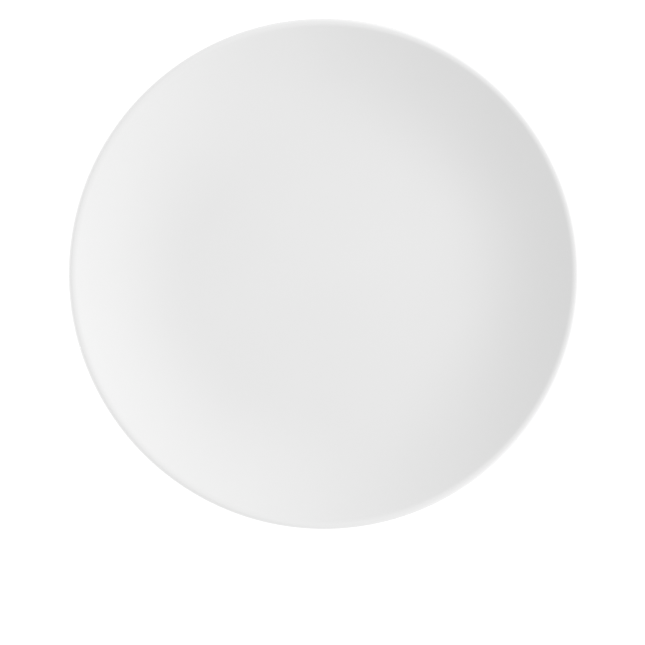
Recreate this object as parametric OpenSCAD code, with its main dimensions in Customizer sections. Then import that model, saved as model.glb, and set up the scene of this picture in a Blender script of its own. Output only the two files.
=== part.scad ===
// Coupe dinner plate: a flat-floored dish with one smooth wall that steepens outwards, a rounded lip and
// a foot ring.
// The fired clay is one piece. Glass-like glaze covers it in two separate coats, because the foot ring
// is wiped bare where it stands on the table: one coat runs over the face, round the lip and down the
// underside to the foot, and the other fills the recess inside the foot.
// +Z is up, the axis of the plate is Z, and the origin is the centre of the circle that it stands on.

/* [Plate] */
// Diameter over the lip, glaze included
plate_d = 280; // [260:1:310]
// Height from the table to the top of the lip, glaze included
plate_h = 26; // [24:0.5:30]

/* [Well and wall] */
// Diameter of the level floor of the well
floor_d = 140; // [120:1:150]
// Thickness of the plate at its centre, glaze included
floor_t = 4.5; // [4:0.1:6]
// How much steeper the underside is than the face, next to the lip
lip_taper = 1; // [0:0.5:4]

/* [Lip] */
// Radius of the lip's outer edge
lip_r = 1.9; // [1.6:0.1:2.4]
// Radius by which the wall levels out into the top of the lip
lip_ease_r = 5; // [3:0.5:8]

/* [Underside] */
// Thickness at the lowest part of the outer curve, which lies over the foot ring
heel_t = 3.7; // [3.2:0.1:4.1]

/* [Foot ring] */
// Outer diameter of the foot ring, where its sloping side would meet the table
foot_d = 153.6; // [140:0.2:165]
// Width of the foot ring from side to side at the table
foot_w = 5.4; // [4.4:0.1:7]
// Slope of the foot ring's outer side, from level
foot_lean = 50; // [42:1:60]
// Radius of the hollow curve that blends the foot ring into the underside
flare_r = 8.5; // [5:0.5:10]
// Radius of the two edges that the bare foot stands between
foot_edge_r = 0.8; // [0.5:0.1:0.9]

/* [Recess under the base] */
// Height of the base above the table, glaze included
base_rise = 3.6; // [3.2:0.1:4.5]
// Slope of the foot ring's inner side, from level
recess_lean = 75; // [65:1:85]
// Radius of the corner between the foot ring and the base
recess_fillet_r = 2.5; // [1.5:0.1:3]

/* [Glaze] */
// Thickness of the glaze
glaze_t = 0.25; // [0.15:0.01:0.4]
// Height above the table at which the glaze ends on both sides of the foot ring
glaze_stop = 1; // [0.9:0.1:1.4]

/* [Hidden] */

// Steps in each curve of the outline, and in a full turn
wall_steps = 28;
ease_steps = 6;
lip_steps = 18;
under_steps = 20;
flare_steps = 10;
edge_steps = 5;
fillet_steps = 8;
turn_steps = 180;

// How far the bend between floor and wall reaches along each of them, as a share of the way
// to the corner at which they would meet
floor_bend_share = 0.6;
wall_bend_share = 0.9;

body_white = [0.9, 0.89, 0.87];
glaze_white = [0.96, 0.96, 0.96];

// The underside is one curve, level over the middle of the foot ring and tangent to the lip's edge
foot_r = foot_d / 2;
well_z = base_rise + floor_t;
lip_centre = [plate_d / 2 - lip_r, plate_h - lip_r];
under_low = [foot_r - foot_w / 2, well_z - heel_t];
lip_reach = lip_centre - under_low;
under_r = (lip_reach * lip_reach - lip_r * lip_r) / (2 * (lip_reach[1] - lip_r));
under_centre = under_low + [0, under_r];
under_slope = asin(lip_reach[0] / (under_r - lip_r));

// The face leaves the level floor and reaches the lip's easing curve at the slope of the wall
wall_slope = under_slope - lip_taper;
wall_up = [cos(wall_slope), sin(wall_slope)];
ease_centre = [lip_centre[0], plate_h - lip_ease_r];
floor_end = [floor_d / 2, well_z];
wall_end = ease_centre + lip_ease_r * [-sin(wall_slope), cos(wall_slope)];
bend_corner = wall_end - (wall_end[1] - well_z) / sin(wall_slope) * wall_up;

// The flare touches the underside's curve and the foot ring's sloping side, above the end of the glaze
foot_up = [cos(foot_lean), sin(foot_lean)];
foot_out = [sin(foot_lean), -cos(foot_lean)];
flare_fit_r = min(flare_r, (under_low[1] - glaze_stop) / (1 - cos(foot_lean)));
flare_start = [foot_r, 0] + flare_fit_r * foot_out;
flare_back = under_centre - flare_start;
flare_along = flare_back * foot_up;
flare_off = flare_back * flare_back - pow(under_r + flare_fit_r, 2);
flare_centre = flare_start + (flare_along - sqrt(pow(flare_along, 2) - flare_off)) * foot_up;
flare_joint = under_centre - flare_centre;
flare_top_a = atan2(flare_joint[1], flare_joint[0]);

// The recess has a sloping side and a rounded corner, which also starts above the end of the glaze
recess_r = foot_r - foot_w;
recess_up = [-cos(recess_lean), sin(recess_lean)];
recess_out = [-sin(recess_lean), -cos(recess_lean)];
fillet_fit_r = min(recess_fillet_r, (base_rise - glaze_stop) / (1 - cos(recess_lean)));
recess_run = (base_rise - fillet_fit_r * (1 - cos(recess_lean))) / sin(recess_lean);
recess_centre = [recess_r, 0] + recess_run * recess_up + fillet_fit_r * recess_out;

// A point of an outline is its radius and height, then the direction in which its surface faces
function facing(p, n) = [p[0], p[1], n[0], n[1]];

// An arc from angle a0 to a1. It faces away from its centre where swell is 1, and towards it where it is -1
function arc(centre, r, a0, a1, steps, swell) = [
  for (i = [0:steps])
    let (a = a0 + (a1 - a0) * i / steps, ray = [cos(a), sin(a)])
      facing(centre + r * ray, swell * ray)
];

// The cubic curve from point a to point d, with handles at b and c. It faces to the left of its way
function bend(a, b, c, d, steps) = [
  for (i = [0:steps])
    let (
      t = i / steps,
      s = 1 - t,
      p = s * s * s * a + 3 * s * s * t * b + 3 * s * t * t * c + t * t * t * d,
      way = s * s * (b - a) + 2 * s * t * (c - b) + t * t * (d - c)
    )
      facing(p, [-way[1], way[0]] / norm(way))
];

// The outline moved inwards by a depth
function sunk(path, depth) = [for (p = path) [p[0] - depth * p[2], p[1] - depth * p[3]]];
function backwards(list) = [for (i = [len(list) - 1:-1:0]) list[i]];

// The glazed outline from the middle of the well, over the lip, to where the glaze ends on the foot
function face_and_back() = concat(
  [facing([0, well_z], [0, 1])],
  bend(
    floor_end,
    floor_end + floor_bend_share * (bend_corner - floor_end),
    wall_end + wall_bend_share * (bend_corner - wall_end),
    wall_end,
    wall_steps
  ),
  arc(ease_centre, lip_ease_r, 90 + wall_slope, 90, ease_steps, 1),
  arc(lip_centre, lip_r, 90, under_slope - 90, lip_steps, 1),
  arc(under_centre, under_r, under_slope - 90, flare_top_a - 180, under_steps, 1),
  arc(flare_centre, flare_fit_r, flare_top_a, 90 + foot_lean, flare_steps, -1),
  [facing([foot_r, 0] + glaze_stop / sin(foot_lean) * foot_up, foot_out)]
);

// The glazed outline from where the glaze ends inside the foot ring to the middle of the base
function recess() = concat(
  [facing([recess_r, 0] + glaze_stop / sin(recess_lean) * recess_up, recess_out)],
  arc(recess_centre, fillet_fit_r, 90 - recess_lean, 90, fillet_steps, -1),
  [facing([0, base_rise], [0, -1])]
);

// The bare end of the foot ring: two small round edges with the level standing face between them
function bare_foot() = let (
  outer_r = foot_r - glaze_t / sin(foot_lean) - foot_edge_r * tan(foot_lean / 2),
  inner_r = recess_r + glaze_t / sin(recess_lean) + foot_edge_r * tan(recess_lean / 2)
) concat(
  arc([outer_r, foot_edge_r], foot_edge_r, foot_lean - 90, -90, edge_steps, 1),
  arc([inner_r, foot_edge_r], foot_edge_r, -90, -90 - recess_lean, edge_steps, 1)
);

module turned(outline) {
  rotate_extrude($fn = turn_steps) polygon(outline);
}

module coat(path) {
  turned(concat(sunk(path, 0), backwards(sunk(path, glaze_t))));
}

module porcelain_body() {
  color(body_white)
    turned(concat(sunk(face_and_back(), glaze_t), sunk(bare_foot(), 0), sunk(recess(), glaze_t)));
}

module face_and_back_glaze() {
  color(glaze_white) coat(face_and_back());
}

module recess_glaze() {
  color(glaze_white) coat(recess());
}

porcelain_body();
face_and_back_glaze();
recess_glaze();
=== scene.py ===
"""A white porcelain coupe plate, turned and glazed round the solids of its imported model.

The half section of the plate is drawn once, as arcs and one cubic bend. The fired clay and the two
coats of glaze take their outlines from it, are spun round the Z axis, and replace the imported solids.
Lengths are in metres, +Z is up, and the origin is the centre of the circle that the plate stands on.
"""

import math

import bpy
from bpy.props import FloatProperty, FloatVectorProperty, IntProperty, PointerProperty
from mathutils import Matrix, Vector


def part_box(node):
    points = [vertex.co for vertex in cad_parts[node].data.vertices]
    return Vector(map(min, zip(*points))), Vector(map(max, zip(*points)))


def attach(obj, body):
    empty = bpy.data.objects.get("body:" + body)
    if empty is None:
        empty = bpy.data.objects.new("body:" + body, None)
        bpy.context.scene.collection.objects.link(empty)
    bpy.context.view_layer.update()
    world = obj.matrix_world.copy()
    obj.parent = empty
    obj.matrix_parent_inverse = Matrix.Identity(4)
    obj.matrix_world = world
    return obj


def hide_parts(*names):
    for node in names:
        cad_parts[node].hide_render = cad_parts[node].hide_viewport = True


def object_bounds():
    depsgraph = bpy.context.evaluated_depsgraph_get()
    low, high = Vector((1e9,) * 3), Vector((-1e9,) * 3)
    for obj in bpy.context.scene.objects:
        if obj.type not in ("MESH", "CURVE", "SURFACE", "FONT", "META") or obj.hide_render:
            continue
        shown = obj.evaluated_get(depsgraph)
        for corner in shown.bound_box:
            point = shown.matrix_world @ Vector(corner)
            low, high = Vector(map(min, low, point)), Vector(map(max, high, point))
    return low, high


bl_info = {
    "name": "Coupe Dinner Plate",
    "version": (1, 0, 0),
    "blender": (4, 5, 0),
    "location": "3D View > Sidebar > Plate",
    "description": "Turns the clay and glaze of a coupe plate and sets it on a pale studio floor",
    "category": "Add Mesh",
}

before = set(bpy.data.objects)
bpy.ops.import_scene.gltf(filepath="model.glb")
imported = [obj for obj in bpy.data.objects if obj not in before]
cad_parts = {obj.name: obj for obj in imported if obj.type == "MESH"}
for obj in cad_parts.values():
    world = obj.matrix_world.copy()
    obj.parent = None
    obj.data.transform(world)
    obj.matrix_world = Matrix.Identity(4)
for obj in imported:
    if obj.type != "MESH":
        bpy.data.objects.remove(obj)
CAD_LOW, CAD_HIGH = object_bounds()
BODY = "root"

# The photograph is square. Its plan view of the plate has this centre and radius, in pixels
IMAGE_PX = 645
PLAN_CENTRE_PX = (323.9, 273.8)
PLAN_RADIUS_PX = 255.2

# Straight steps in each stretch of the outline
FLOOR_STEPS = 6
WALL_STEPS = 48
EASE_STEPS = 12
LIP_STEPS = 26
UNDER_STEPS = 32
FLARE_STEPS = 14
FILLET_STEPS = 12
EDGE_STEPS = 8
BEAD_STEPS = 6

# Surfaces between glaze and clay never show, so they take this share of the steps
HIDDEN_SHARE = 0.4

# How far the bend between floor and wall reaches along each, as a share of the way to their corner
FLOOR_BEND_SHARE = 0.6
WALL_BEND_SHARE = 0.9

MERGE_DISTANCE = 1e-6
SMOOTH_ANGLE = math.radians(40)
QUARTER = math.pi / 2
WHITE = (1.0, 1.0, 1.0, 1.0)

# Index of refraction of the glaze and of the clay
IOR = 1.5

# The glaze: its drift in colour, its haze, its orange peel and the long wave of its surface. Here and
# below, widths and depths are in metres, and a range is where a pattern's share goes from 0 to 1
DRIFT_WIDTH = 0.09
DRIFT_RANGE = (0.3, 0.7)
HAZE_WIDTH = 0.03
HAZE_RANGE = (0.35, 0.75)
HAZE_ROUGHNESS = 0.03
PEEL_WIDTH = 0.005
PEEL_DEPTH = 0.000006
WAVE_WIDTH = 0.05
WAVE_DEPTH = 0.00007

# Glaze gathers on the underside alone. Its tint fades out between these shares of the well's height
POOL_TOP_SHARES = (0.7, 0.9)

# The wiped ends of the glaze: how ragged they are, and how much clay and roughness they show
WIPE_WIDTH = 0.004
WIPE_RAGGEDNESS = 0.0004
WIPE_CLAY_SHARE = 0.6
WIPE_ROUGHNESS = 0.25

# The bare clay: its grain, and the patches in which its standing face is scuffed and rubbed smoother.
# The scuffs fade out at a share of the foot edge's radius above the table
CLAY_DETAIL = 4.0
GRAIN_WIDTH = 0.0004
GRAIN_RANGE = (0.3, 0.75)
GRAIN_SHARE = 0.35
GRAIN_DEPTH = 0.00003
PATCH_WIDTH = 0.003
PATCH_RANGE = (0.5, 0.7)
PATCH_DEPTH = 0.00002
SCUFF_SHARE = 0.3
SCUFF_TOP_SHARE = 0.25
CLAY_ROUGHNESS = 0.78
SCUFF_SMOOTHING = 0.2

# The floor's own light, and the share of other light that it gives back, for what lights the scene
FLOOR_GLOW = 0.73
FLOOR_BOUNCE = 0.2

# The same for what is seen of the floor: its glow in full shadow, and what is added to that in the open
SHADOW_GLOW = 0.45
OPEN_GLOW = 0.43
SEEN_BOUNCE = 0.25

# The plate's shadow on the floor that is seen: how far off the plate still casts it, and its soft edge
SHADOW_REACH = 0.1
SHADOW_RANGE = (0.0, 0.45)
SHADOW_SAMPLES = 8

# Height of the low strips of light, as a share of the plate's
STRIP_HEIGHT_SHARE = 0.9


def reach(node):
    """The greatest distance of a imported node's corners from the plate's axis."""
    return max(corner.co.xy.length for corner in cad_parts[node].data.vertices)


def size(name, description, default):
    """A length that the user may change."""
    return FloatProperty(name=name, description=description, default=default, unit="LENGTH", precision=5)


def angle(name, description, degrees):
    """An angle that the user may change."""
    return FloatProperty(name=name, description=description, default=math.radians(degrees), subtype="ANGLE")


def colour(name, description, default):
    """A colour that the user may change."""
    return FloatVectorProperty(name=name, description=description, default=default, subtype="COLOR")


def strength(name, description, default):
    """The strength of a light that has no place, where 1 is white."""
    return FloatProperty(name=name, description=description, default=default, min=0.0)


def power(name, description, default):
    """The power of a lamp that the user may change."""
    return FloatProperty(name=name, description=description, default=default, min=0.0, unit="POWER")


class PlateSizes(bpy.types.PropertyGroup):
    """The sizes of the plate's half section, glaze included"""

    radius: size("Radius", "Radius over the lip", reach("face_and_back_glaze"))
    height: size("Height", "Height from the table to the top of the lip", CAD_HIGH.z)
    floor_radius: size("Floor radius", "Radius of the level floor of the well", 0.07)
    floor_thickness: size("Floor thickness", "Thickness of the plate at its centre", 0.0045)
    lip_taper: angle("Lip taper", "How much steeper the underside is than the face, next to the lip", 1)
    lip_radius: size("Lip radius", "Radius of the lip's outer edge", 0.0019)
    lip_ease: size("Lip easing", "Radius by which the wall levels out into the top of the lip", 0.005)
    heel_thickness: size("Heel thickness", "Thickness over the middle of the foot ring", 0.0037)
    foot_radius: size("Foot radius", "Where the foot ring's sloping side would meet the table", 0.0768)
    foot_width: size("Foot width", "Width of the foot ring from side to side at the table", 0.0054)
    foot_lean: angle("Foot lean", "Slope of the foot ring's outer side, from level", 50)
    flare_radius: size("Flare radius", "Radius of the hollow between foot ring and underside", 0.0085)
    foot_edge: size("Foot edge", "Radius of the two edges that the bare foot stands between", 0.0008)
    base_rise: size("Base rise", "Height of the base above the table", 0.0036)
    recess_lean: angle("Recess lean", "Slope of the foot ring's inner side, from level", 75)
    recess_fillet: size("Recess fillet", "Radius of the corner between foot ring and base", 0.0025)
    glaze: size("Glaze thickness", "Thickness of both coats of glaze", 0.00025)
    glaze_stop: size("Glaze end", "Height above the table where glaze ends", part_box("recess_glaze")[0].z)
    turn_steps: IntProperty(
        name="Steps in a turn",
        description="Straight steps in one full turn of an outline",
        default=288,
        min=24,
    )


class PlateFinish(bpy.types.PropertyGroup):
    """The colours and gloss of the plate"""

    glaze_colour: colour("Glaze", "Colour of the white glazed surface", (0.84, 0.84, 0.84))
    thin_colour: colour("Thin glaze", "Colour where the glaze has drawn thinner", (0.85, 0.85, 0.85))
    # Painted highlight: the lip colour is lighter than the glaze and stands in for the light that the lip's
    # rounded edge catches
    lip_colour: colour("Lip", "Colour of the lip, where the glaze is thinnest", (0.87, 0.87, 0.87))
    pool_colour: colour("Pooled glaze", "Colour where glaze has gathered in a hollow", (0.815, 0.82, 0.82))
    clay_colour: colour("Bare clay", "Colour of the ground clay of the foot ring", (0.8, 0.79, 0.775))
    scuff_colour: colour("Scuffs", "Colour of the fine grey scuffs on the standing face", (0.5, 0.49, 0.47))
    gloss: FloatProperty(
        name="Glaze roughness",
        description="Roughness of the glaze, where 0 is a mirror",
        default=0.08,
        subtype="FACTOR",
        min=0.0,
        max=1.0,
    )


class PlateStudio(bpy.types.PropertyGroup):
    """The camera and lights of the studio"""

    lens: FloatProperty(
        name="Lens",
        description="Focal length of the camera, in millimetres",
        default=135.0,
        subtype="DISTANCE_CAMERA",
    )
    surround: strength("Surround", "Strength of the even light that comes from all round", 0.785)
    key_power: power("Key light", "Power of the soft lamp at the plate's right", 21.0)
    key_turn: angle("Key direction", "Direction of the key light, from +X towards +Y", 13)
    key_rise: angle("Key elevation", "Elevation of the key light above the table", 25)
    key_distance: size("Key distance", "Distance from the plate to the key light", 2.2)
    key_size: size("Key size", "Width and height of the key light", 1.2)
    left_power: power("Left strip", "Power of the low strip of light at the plate's left", 0.95)
    side_power: power("Side strips", "Power of each low strip of light in front of and behind the plate", 0.3)
    strip_distance: size("Strip distance", "Distance from the plate's axis to each strip", 0.6)
    strip_length: size("Strip length", "Length of each strip", 1.2)
    floor_size: size("Floor size", "Width and depth of the studio floor", 12.0)
    floor_drop: size("Floor drop", "Gap between floor and foot, so that their faces don't meet", 0.00005)


def arc(centre, radius, start, end, steps, swell):
    """Points of an arc with the way they face: away from the centre if swell is 1, towards it if it is -1."""
    points = []
    for step in range(steps + 1):
        turn = start + (end - start) * step / steps
        ray = Vector((math.cos(turn), math.sin(turn)))
        points.append((centre + radius * ray, swell * ray))
    return points


def bend(start, out_handle, in_handle, end, steps):
    """Points of a cubic curve with the way they face, which is to the left of the curve's way."""
    points = []
    for step in range(steps + 1):
        t = step / steps
        s = 1 - t
        point = s**3 * start + 3 * s**2 * t * out_handle + 3 * s * t**2 * in_handle + t**3 * end
        way = s**2 * (out_handle - start) + 2 * s * t * (in_handle - out_handle) + t**2 * (end - in_handle)
        points.append((point, Vector((-way.y, way.x)).normalized()))
    return points


def straight(start, end, facing, steps):
    """Evenly spaced points of a straight line with the way they face."""
    return [(start.lerp(end, step / steps), facing) for step in range(steps + 1)]


def joined(*stretches):
    """Stretches of an outline, each without its last point, which the next one starts with."""
    points = []
    for stretch in stretches:
        points += stretch[:-1]
    return points + stretches[-1][-1:]


def sunk(outline, depth):
    """The outline's points, moved into the surface by a depth."""
    return [point - depth * facing for point, facing in outline]


class Section:
    """The half section of the plate, as outlines of points (distance from the axis, height)."""

    def __init__(self, sizes, fineness=1.0):
        self.sizes = sizes
        self.fineness = fineness
        well = sizes.base_rise + sizes.floor_thickness
        self.middle = Vector((0, well))
        self.floor_end = Vector((sizes.floor_radius, well))

        # The underside is one curve, level over the middle of the foot ring and tangent to the lip's edge
        lip = sizes.lip_radius
        self.lip_centre = Vector((sizes.radius - lip, sizes.height - lip))
        lowest = Vector((sizes.foot_radius - sizes.foot_width / 2, well - sizes.heel_thickness))
        across = self.lip_centre - lowest
        self.under_radius = (across.length_squared - lip**2) / (2 * (across.y - lip))
        self.under_centre = lowest + Vector((0, self.under_radius))
        self.under_slope = math.asin(across.x / (self.under_radius - lip))

        # The face leaves the level floor and reaches the lip's easing curve at the slope of the wall
        self.wall_slope = self.under_slope - sizes.lip_taper
        wall_way = Vector((math.cos(self.wall_slope), math.sin(self.wall_slope)))
        self.ease_centre = Vector((self.lip_centre.x, sizes.height - sizes.lip_ease))
        self.wall_end = self.ease_centre + sizes.lip_ease * Vector((-wall_way.y, wall_way.x))
        run = (self.wall_end.y - well) / math.sin(self.wall_slope)
        self.bend_corner = self.wall_end - run * wall_way

        # The flare touches the underside's curve and the foot ring's sloping side
        foot = Vector((sizes.foot_radius, 0))
        foot_way = Vector((math.cos(sizes.foot_lean), math.sin(sizes.foot_lean)))
        self.foot_out = Vector((foot_way.y, -foot_way.x))
        self.foot_down = -foot_way
        start = foot + sizes.flare_radius * self.foot_out
        back = self.under_centre - start
        along = back.dot(foot_way)
        off = back.length_squared - (self.under_radius + sizes.flare_radius) ** 2
        self.flare_centre = start + (along - math.sqrt(along**2 - off)) * foot_way
        joint = self.under_centre - self.flare_centre
        self.flare_top = math.atan2(joint.y, joint.x)
        self.foot_glaze_end = foot + sizes.glaze_stop / foot_way.y * foot_way

        # The recess has a sloping side and a rounded corner
        self.recess_foot = Vector((sizes.foot_radius - sizes.foot_width, 0))
        recess_way = Vector((-math.cos(sizes.recess_lean), math.sin(sizes.recess_lean)))
        self.recess_out = Vector((-recess_way.y, recess_way.x))
        self.recess_down = -recess_way
        side = (sizes.base_rise - sizes.recess_fillet * (1 + recess_way.x)) / recess_way.y
        self.fillet_centre = self.recess_foot + side * recess_way + sizes.recess_fillet * self.recess_out
        self.recess_glaze_end = self.recess_foot + sizes.glaze_stop / recess_way.y * recess_way

    def steps(self, most):
        """The steps of a stretch, from those it has at full fineness."""
        return max(2, round(most * self.fineness))

    def face_and_back(self):
        """From the middle of the well, over the lip and down to where the glaze ends on the foot."""
        sizes = self.sizes
        wall_top = QUARTER + self.wall_slope
        under_top = self.under_slope - QUARTER
        out_handle = self.floor_end.lerp(self.bend_corner, FLOOR_BEND_SHARE)
        in_handle = self.wall_end.lerp(self.bend_corner, WALL_BEND_SHARE)
        return joined(
            straight(self.middle, self.floor_end, Vector((0, 1)), self.steps(FLOOR_STEPS)),
            bend(self.floor_end, out_handle, in_handle, self.wall_end, self.steps(WALL_STEPS)),
            arc(self.ease_centre, sizes.lip_ease, wall_top, QUARTER, self.steps(EASE_STEPS), 1),
            arc(self.lip_centre, sizes.lip_radius, QUARTER, under_top, self.steps(LIP_STEPS), 1),
            arc(
                self.under_centre,
                self.under_radius,
                under_top,
                self.flare_top - math.pi,
                self.steps(UNDER_STEPS),
                1,
            ),
            arc(
                self.flare_centre,
                sizes.flare_radius,
                self.flare_top,
                QUARTER + sizes.foot_lean,
                self.steps(FLARE_STEPS),
                -1,
            )
            + [(self.foot_glaze_end, self.foot_out)],
        )

    def recess(self):
        """From where the glaze ends inside the foot ring to the middle of the base."""
        sizes = self.sizes
        start = QUARTER - sizes.recess_lean
        fillet = arc(self.fillet_centre, sizes.recess_fillet, start, QUARTER, self.steps(FILLET_STEPS), -1)
        base_edge, down = fillet[-1]
        return [(self.recess_glaze_end, self.recess_out)] + joined(
            fillet, straight(base_edge, Vector((0, sizes.base_rise)), down, self.steps(FLOOR_STEPS))
        )

    def bare_foot(self):
        """The bare end of the foot ring, from its outer side to its inner side."""
        sizes = self.sizes
        radius, lean, recess_lean = sizes.foot_edge, sizes.foot_lean, sizes.recess_lean
        outer = sizes.foot_radius - sizes.glaze / math.sin(lean) - radius * math.tan(lean / 2)
        inner = self.recess_foot.x + sizes.glaze / math.sin(recess_lean) + radius * math.tan(recess_lean / 2)
        outer_edge = arc(Vector((outer, radius)), radius, lean - QUARTER, -QUARTER, EDGE_STEPS, 1)
        inner_edge = arc(Vector((inner, radius)), radius, -QUARTER, -QUARTER - recess_lean, EDGE_STEPS, 1)
        return [point for point, facing in outer_edge + inner_edge]

    def bead(self, end, facing, way):
        """The rounded end of a coat of glaze, from its face to the clay. The coat runs out along way."""
        radius = self.sizes.glaze / 2
        centre = end - radius * (facing + way)
        turns = [math.pi * step / BEAD_STEPS for step in range(BEAD_STEPS + 1)]
        return [centre + radius * (math.cos(turn) * facing + math.sin(turn) * way) for turn in turns]


def turned(name, outline, steps):
    """A closed solid. Its outline starts and ends on the axis, is extruded point by point, and is spun."""
    bpy.ops.object.select_all(action="DESELECT")
    bpy.ops.mesh.primitive_plane_add(size=MERGE_DISTANCE, location=(0, 0, 0))
    piece = bpy.context.active_object
    piece.name = name
    piece.data.name = name
    bpy.ops.object.mode_set(mode="EDIT")

    # The plane, merged into one point, is the start of the outline
    bpy.ops.mesh.merge(type="CENTER")
    start = outline[0]
    bpy.ops.transform.translate(value=(start.x, 0, start.y))
    for place, following in zip(outline, outline[1:]):
        step = following - place
        bpy.ops.mesh.extrude_region_move(TRANSFORM_OT_translate={"value": (step.x, 0, step.y)})
    bpy.ops.mesh.select_all(action="SELECT")
    bpy.ops.mesh.spin(steps=steps, angle=2 * math.pi, center=(0, 0, 0), axis=(0, 0, 1))
    bpy.ops.mesh.select_all(action="SELECT")
    bpy.ops.mesh.remove_doubles(threshold=MERGE_DISTANCE)
    bpy.ops.mesh.normals_make_consistent(inside=False)
    bpy.ops.object.mode_set(mode="OBJECT")
    bpy.ops.object.shade_smooth_by_angle(angle=SMOOTH_ANGLE)
    return piece


def dress(piece, material, node):
    """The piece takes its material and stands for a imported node."""
    piece.data.materials.append(material)
    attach(piece, BODY)
    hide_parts(node)


class Wire:
    """One output of a shader node. Arithmetic on it adds Math nodes."""

    def __init__(self, tree, socket):
        self.tree = tree
        self.socket = socket

    def math(self, operation, first, second):
        """A Math node that works on two wires or numbers."""
        return self.tree.node("ShaderNodeMath", {"operation": operation}, {0: first, 1: second})

    def __add__(self, other):
        return self.math("ADD", self, other)

    __radd__ = __add__

    def __sub__(self, other):
        return self.math("SUBTRACT", self, other)

    def __rsub__(self, other):
        return self.math("SUBTRACT", other, self)

    def __mul__(self, other):
        return self.math("MULTIPLY", self, other)

    __rmul__ = __mul__

    def rise(self, low, high):
        """0 where this value is under low, 1 where it is over high, and a soft step between."""
        settings = {"interpolation_type": "SMOOTHSTEP"}
        values = {"Value": self, "From Min": low, "From Max": high}
        return self.tree.node("ShaderNodeMapRange", settings, values)


class Tree:
    """The nodes of a material or a world while it is being made."""

    def __init__(self, owner):
        owner.use_nodes = True
        self.nodes = owner.node_tree.nodes
        self.links = owner.node_tree.links
        self.nodes.clear()

    def node(self, kind, settings=None, values=None, output=0):
        """A node of this kind. Its settings are made first, then its sockets take values or wires."""
        made = self.nodes.new(kind)
        for name, value in (settings or {}).items():
            setattr(made, name, value)
        for name, value in (values or {}).items():
            if isinstance(value, Wire):
                self.links.new(value.socket, made.inputs[name])
            else:
                made.inputs[name].default_value = value
        return Wire(self, made.outputs[output]) if made.outputs else None

    def place(self):
        """The place on the object, in metres."""
        return self.node("ShaderNodeTexCoord", output="Object")

    def height(self, place):
        """Height of a place above the table."""
        return self.node("ShaderNodeSeparateXYZ", values={"Vector": place}, output="Z")

    def from_axis(self, place):
        """Distance from the plate's axis."""
        level = self.node("ShaderNodeVectorMath", {"operation": "MULTIPLY"}, {0: place, 1: (1, 1, 0)})
        return self.node("ShaderNodeVectorMath", {"operation": "LENGTH"}, {0: level}, output="Value")

    def noise(self, place, lump, detail=2.0):
        """Soft noise about 0.5, in lumps about as wide as lump."""
        return self.node("ShaderNodeTexNoise", values={"Vector": place, "Scale": 1 / lump, "Detail": detail})

    def mix(self, share, first, second):
        """The colour first, which turns into second as share goes from 0 to 1."""
        # A Mix node has a set of sockets for each data type: 6, 7 and output 2 are the colour ones
        return self.node("ShaderNodeMix", {"data_type": "RGBA"}, {0: share, 6: first, 7: second}, output=2)

    def bump(self, relief):
        """The surface normal, tilted by a relief in metres."""
        return self.node("ShaderNodeBump", values={"Height": relief, "Strength": 1.0, "Distance": 1.0})

    def principled(self, **values):
        """The surface shader, linked to the output. Underscores in the names stand for spaces."""
        named = {name.replace("_", " "): value for name, value in values.items()}
        surface = self.node("ShaderNodeBsdfPrincipled", values=named)
        self.node("ShaderNodeOutputMaterial", values={"Surface": surface})

    def lit_white(self, glow, bounce):
        """White that shines by itself, and adds a share of the light that falls on it."""
        shining = self.node("ShaderNodeEmission", values={"Color": WHITE, "Strength": glow})
        lit = self.node("ShaderNodeBsdfDiffuse", values={"Color": (bounce, bounce, bounce, 1.0)})
        return self.node("ShaderNodeAddShader", values={0: shining, 1: lit})

    def openness(self, distance):
        """1 where nothing stands within this distance over the surface, and 0 where all is covered."""
        settings = {"samples": SHADOW_SAMPLES}
        return self.node("ShaderNodeAmbientOcclusion", settings, {"Distance": distance}, output="AO")

    def seen(self):
        """1 for what the camera, a reflection or a see-through surface sees, 0 for what lights the scene."""
        camera, glossy, through = [
            self.node("ShaderNodeLightPath", output=f"Is {kind} Ray")
            for kind in ("Camera", "Glossy", "Transmission")
        ]
        return camera.math("MAXIMUM", camera.math("MAXIMUM", camera, glossy), through)


def opaque(rgb):
    """A colour as a colour socket takes it."""
    return (*rgb, 1.0)


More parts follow.
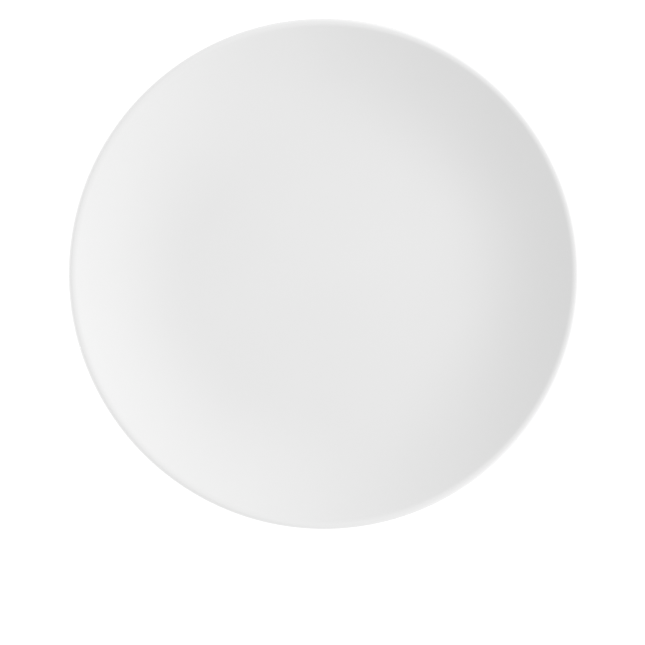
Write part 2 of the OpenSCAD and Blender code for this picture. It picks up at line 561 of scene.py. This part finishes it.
def white_glaze(finish, section):
    """Clear gloss over white clay: even but for the lip, which is painted lighter as a highlight, and the
    hollows, with a faint orange peel.
    """
    material = bpy.data.materials.new("white_glaze")
    tree = Tree(material)
    place = tree.place()
    height = tree.height(place)
    from_axis = tree.from_axis(place)

    # The coat drifts a little all over. The lip is painted lighter than the glaze, a painted highlight that
    # stands in for the light its rounded edge catches
    sizes = section.sizes
    drift = tree.noise(place, DRIFT_WIDTH).rise(*DRIFT_RANGE)
    base = tree.mix(drift, opaque(finish.thin_colour), opaque(finish.glaze_colour))
    outermost = from_axis.rise(section.wall_end.x, section.lip_centre.x)
    lip = outermost * height.rise(section.lip_centre.y - sizes.lip_radius, section.lip_centre.y)
    lip_highlighted = tree.mix(lip, base, opaque(finish.lip_colour))

    # It gathers in the two hollows beside the foot ring, and not on the face above them
    flare, fillet = section.flare_centre.x, section.fillet_centre.x
    flare_end, fillet_end = flare + sizes.flare_radius, fillet - sizes.recess_fillet
    under_low, under_high = [share * section.middle.y for share in POOL_TOP_SHARES]
    under = 1 - height.rise(under_low, under_high)
    outside = from_axis.rise(sizes.foot_radius, flare) * (1 - from_axis.rise(flare, flare_end))
    inside = from_axis.rise(fillet_end, fillet) * (1 - from_axis.rise(fillet, sizes.foot_radius))
    pooled = tree.mix((outside + inside) * under, lip_highlighted, opaque(finish.pool_colour))

    # At its wiped ends the coat thins out, and the clay shows through
    edge = height + WIPE_RAGGEDNESS * (tree.noise(place, WIPE_WIDTH) - 0.5)
    thin = 1 - edge.rise(sizes.glaze_stop, sizes.glaze_stop + sizes.glaze)
    final = tree.mix(thin * WIPE_CLAY_SHARE, pooled, opaque(finish.clay_colour))

    peel = PEEL_DEPTH * tree.noise(place, PEEL_WIDTH)
    wave = WAVE_DEPTH * tree.noise(place, WAVE_WIDTH, detail=0.0)
    haze = tree.noise(place, HAZE_WIDTH).rise(*HAZE_RANGE)
    tree.principled(
        Base_Color=final,
        Roughness=finish.gloss + HAZE_ROUGHNESS * haze + WIPE_ROUGHNESS * thin,
        IOR=IOR,
        Normal=tree.bump(peel + wave),
    )
    return material


def bare_clay(finish, section):
    """Ground porcelain: matt, warm white, fine grained, with grey scuffs on the standing face."""
    material = bpy.data.materials.new("bare_clay")
    tree = Tree(material)
    place = tree.place()
    height = tree.height(place)
    grain = tree.noise(place, GRAIN_WIDTH, detail=CLAY_DETAIL)
    patch = tree.noise(place, PATCH_WIDTH, detail=CLAY_DETAIL)
    speckles = grain.rise(*GRAIN_RANGE) * GRAIN_SHARE
    speckled = tree.mix(speckles, opaque(finish.clay_colour), opaque(finish.thin_colour))
    worn = (1 - height.rise(0.0, SCUFF_TOP_SHARE * section.sizes.foot_edge)) * patch.rise(*PATCH_RANGE)
    scuffed = tree.mix(worn * SCUFF_SHARE, speckled, opaque(finish.scuff_colour))
    tree.principled(
        Base_Color=scuffed,
        Roughness=CLAY_ROUGHNESS - SCUFF_SMOOTHING * worn,
        IOR=IOR,
        Normal=tree.bump(GRAIN_DEPTH * grain + PATCH_DEPTH * patch),
    )
    return material


class PLATE_OT_clay(bpy.types.Operator):
    """Turn the fired clay of the plate, which shows only where the foot ring is bare"""

    bl_idname = "plate.clay"
    bl_label = "Turn the clay"

    def execute(self, context):
        scene = context.scene
        sizes = scene.plate_sizes
        section = Section(sizes)
        hidden = Section(sizes, HIDDEN_SHARE)
        under_face_and_back = sunk(hidden.face_and_back(), sizes.glaze)
        under_recess = sunk(hidden.recess(), sizes.glaze)
        outline = under_face_and_back + section.bare_foot() + under_recess
        piece = turned("fired_clay", outline, sizes.turn_steps)
        dress(piece, bare_clay(scene.plate_finish, section), "porcelain_body")
        return {"FINISHED"}


class PLATE_OT_glaze(bpy.types.Operator):
    """Lay both coats of glaze: one over the face and the back, one inside the foot ring"""

    bl_idname = "plate.glaze"
    bl_label = "Lay the glaze"

    def execute(self, context):
        scene = context.scene
        sizes = scene.plate_sizes
        section = Section(sizes)
        hidden = Section(sizes, HIDDEN_SHARE)
        material = white_glaze(scene.plate_finish, section)

        face = sunk(section.face_and_back()[:-1], 0)
        bead = section.bead(section.foot_glaze_end, section.foot_out, section.foot_down)
        back = sunk(hidden.face_and_back()[:-1], sizes.glaze)
        piece = turned("face_and_back_coat", face + bead + back[::-1], sizes.turn_steps)
        dress(piece, material, "face_and_back_glaze")

        face = sunk(section.recess()[1:], 0)
        bead = section.bead(section.recess_glaze_end, section.recess_out, section.recess_down)
        back = sunk(hidden.recess()[1:], sizes.glaze)
        piece = turned("recess_coat", face[::-1] + bead + back, sizes.turn_steps)
        dress(piece, material, "recess_glaze")
        return {"FINISHED"}


class PLATE_OT_stage(bpy.types.Operator):
    """Set the plate on a pale floor under soft studio light, with the camera straight above it"""

    bl_idname = "plate.stage"
    bl_label = "Set the stage"

    def execute(self, context):
        scene = context.scene
        studio = scene.plate_studio
        scene.view_settings.view_transform = "Standard"
        self.floor(studio)
        self.surround(scene)
        self.key_light(studio)
        self.strips(studio, scene.plate_sizes.height)
        self.camera(scene)
        return {"FINISHED"}

    def floor(self, studio):
        """A pale floor: white to the eye except in the plate's shadow, and open to a view from below."""
        bpy.ops.object.select_all(action="DESELECT")
        bpy.ops.mesh.primitive_plane_add(size=studio.floor_size, location=(0, 0, -studio.floor_drop))
        floor = bpy.context.active_object
        floor.name = "studio_floor"
        material = bpy.data.materials.new("studio_floor")

        # Were rays aimed at the glow, one half of the foot just above it would come out darker
        material.cycles.emission_sampling = "NONE"
        tree = Tree(material)
        light = tree.lit_white(FLOOR_GLOW, FLOOR_BOUNCE)
        unshaded = tree.openness(SHADOW_REACH).rise(*SHADOW_RANGE)
        look = tree.lit_white(SHADOW_GLOW + OPEN_GLOW * unshaded, SEEN_BOUNCE)
        top = tree.node("ShaderNodeMixShader", values={0: tree.seen(), 1: light, 2: look})
        behind = tree.node("ShaderNodeNewGeometry", output="Backfacing")
        clear = tree.node("ShaderNodeBsdfTransparent", values={"Color": WHITE})
        surface = tree.node("ShaderNodeMixShader", values={0: behind, 1: top, 2: clear})
        tree.node("ShaderNodeOutputMaterial", values={"Surface": surface})
        floor.data.materials.append(material)

    def surround(self, scene):
        """Even light from all round, as in a pale room. The camera and the glaze see it as plain white."""
        world = bpy.data.worlds.new("surround")
        scene.world = world
        tree = Tree(world)
        level = scene.plate_studio.surround
        light = tree.node("ShaderNodeBackground", values={"Color": WHITE, "Strength": level})
        look = tree.node("ShaderNodeBackground", values={"Color": WHITE, "Strength": 1.0})
        surface = tree.node("ShaderNodeMixShader", values={0: tree.seen(), 1: light, 2: look})
        tree.node("ShaderNodeOutputWorld", values={"Surface": surface})

    def key_light(self, studio):
        """A large soft lamp, low at the plate's right. The glaze mirrors the pale room, and not the lamp."""
        level = math.cos(studio.key_rise)
        turn = studio.key_turn
        way = Vector((level * math.cos(turn), level * math.sin(turn), math.sin(studio.key_rise)))
        extent = (studio.key_size, studio.key_size)
        self.lamp("key_light", studio.key_distance * way, way, extent, studio.key_power)

    def strips(self, studio, height):
        """Low strips that light the lip's outer edge and the underside.

        They are no taller than the plate, so the lip keeps their light off the face.
        """
        powers = {"left": studio.left_power, "front": studio.side_power, "back": studio.side_power}
        ways = {"left": Vector((-1, 0, 0)), "front": Vector((0, -1, 0)), "back": Vector((0, 1, 0))}
        for side, way in ways.items():
            place = studio.strip_distance * way + Vector((0, 0, height / 2))
            extent = (studio.strip_length, STRIP_HEIGHT_SHARE * height)
            self.lamp(f"{side}_strip", place, way, extent, powers[side])

    def lamp(self, name, place, way, extent, watts):
        """A soft lamp, which shines from its place against its way. Neither the eye nor the glaze sees it."""
        bpy.ops.object.light_add(type="AREA", location=place, rotation=way.to_track_quat("Z", "Y").to_euler())
        lamp = bpy.context.active_object
        lamp.name = name
        lamp.data.shape = "RECTANGLE"
        lamp.data.size, lamp.data.size_y = extent
        lamp.data.energy = watts
        lamp.visible_camera = False
        lamp.visible_glossy = False

    def camera(self, scene):
        """The camera looks straight down, so far off that the lip has the radius it has in the photograph."""
        sizes = scene.plate_sizes
        lens = scene.plate_studio.lens
        scale = sizes.radius / PLAN_RADIUS_PX
        bpy.ops.object.camera_add(rotation=(0, 0, 0))
        camera = bpy.context.active_object
        camera.name = "plan_camera"
        camera.data.lens = lens
        lip_distance = IMAGE_PX * scale * lens / camera.data.sensor_width
        camera.location = (
            (IMAGE_PX / 2 - PLAN_CENTRE_PX[0]) * scale,
            (PLAN_CENTRE_PX[1] - IMAGE_PX / 2) * scale,
            lip_distance + sizes.height - sizes.lip_radius,
        )
        scene.camera = camera


class PLATE_PT_sidebar(bpy.types.Panel):
    """The plate's tab in the sidebar"""

    bl_label = "Coupe Dinner Plate"
    bl_idname = "PLATE_PT_sidebar"
    bl_space_type = "VIEW_3D"
    bl_region_type = "UI"
    bl_category = "Plate"

    def draw(self, context):
        """List the operators, and then the properties of each group."""
        for operator in OPERATORS:
            self.layout.operator(operator.bl_idname)
        for name in GROUPS:
            group = getattr(context.scene, name)
            column = self.layout.column(heading=type(group).__name__)
            for prop in type(group).__annotations__:
                column.prop(group, prop)


GROUPS = {"plate_sizes": PlateSizes, "plate_finish": PlateFinish, "plate_studio": PlateStudio}
OPERATORS = (PLATE_OT_clay, PLATE_OT_glaze, PLATE_OT_stage)


def register():
    """Make the plate's properties, operators and panel known to Blender."""
    for group in GROUPS.values():
        bpy.utils.register_class(group)
    for name, group in GROUPS.items():
        setattr(bpy.types.Scene, name, PointerProperty(type=group))
    for operator in OPERATORS:
        bpy.utils.register_class(operator)
    bpy.utils.register_class(PLATE_PT_sidebar)


def unregister():
    """Take them out again, in the opposite order."""
    bpy.utils.unregister_class(PLATE_PT_sidebar)
    for operator in reversed(OPERATORS):
        bpy.utils.unregister_class(operator)
    for name, group in reversed(GROUPS.items()):
        delattr(bpy.types.Scene, name)
        bpy.utils.unregister_class(group)


def main():
    """Build the plate and its stage."""
    register()
    bpy.ops.plate.clay()
    bpy.ops.plate.glaze()
    bpy.ops.plate.stage()


if __name__ == "__main__":
    main()
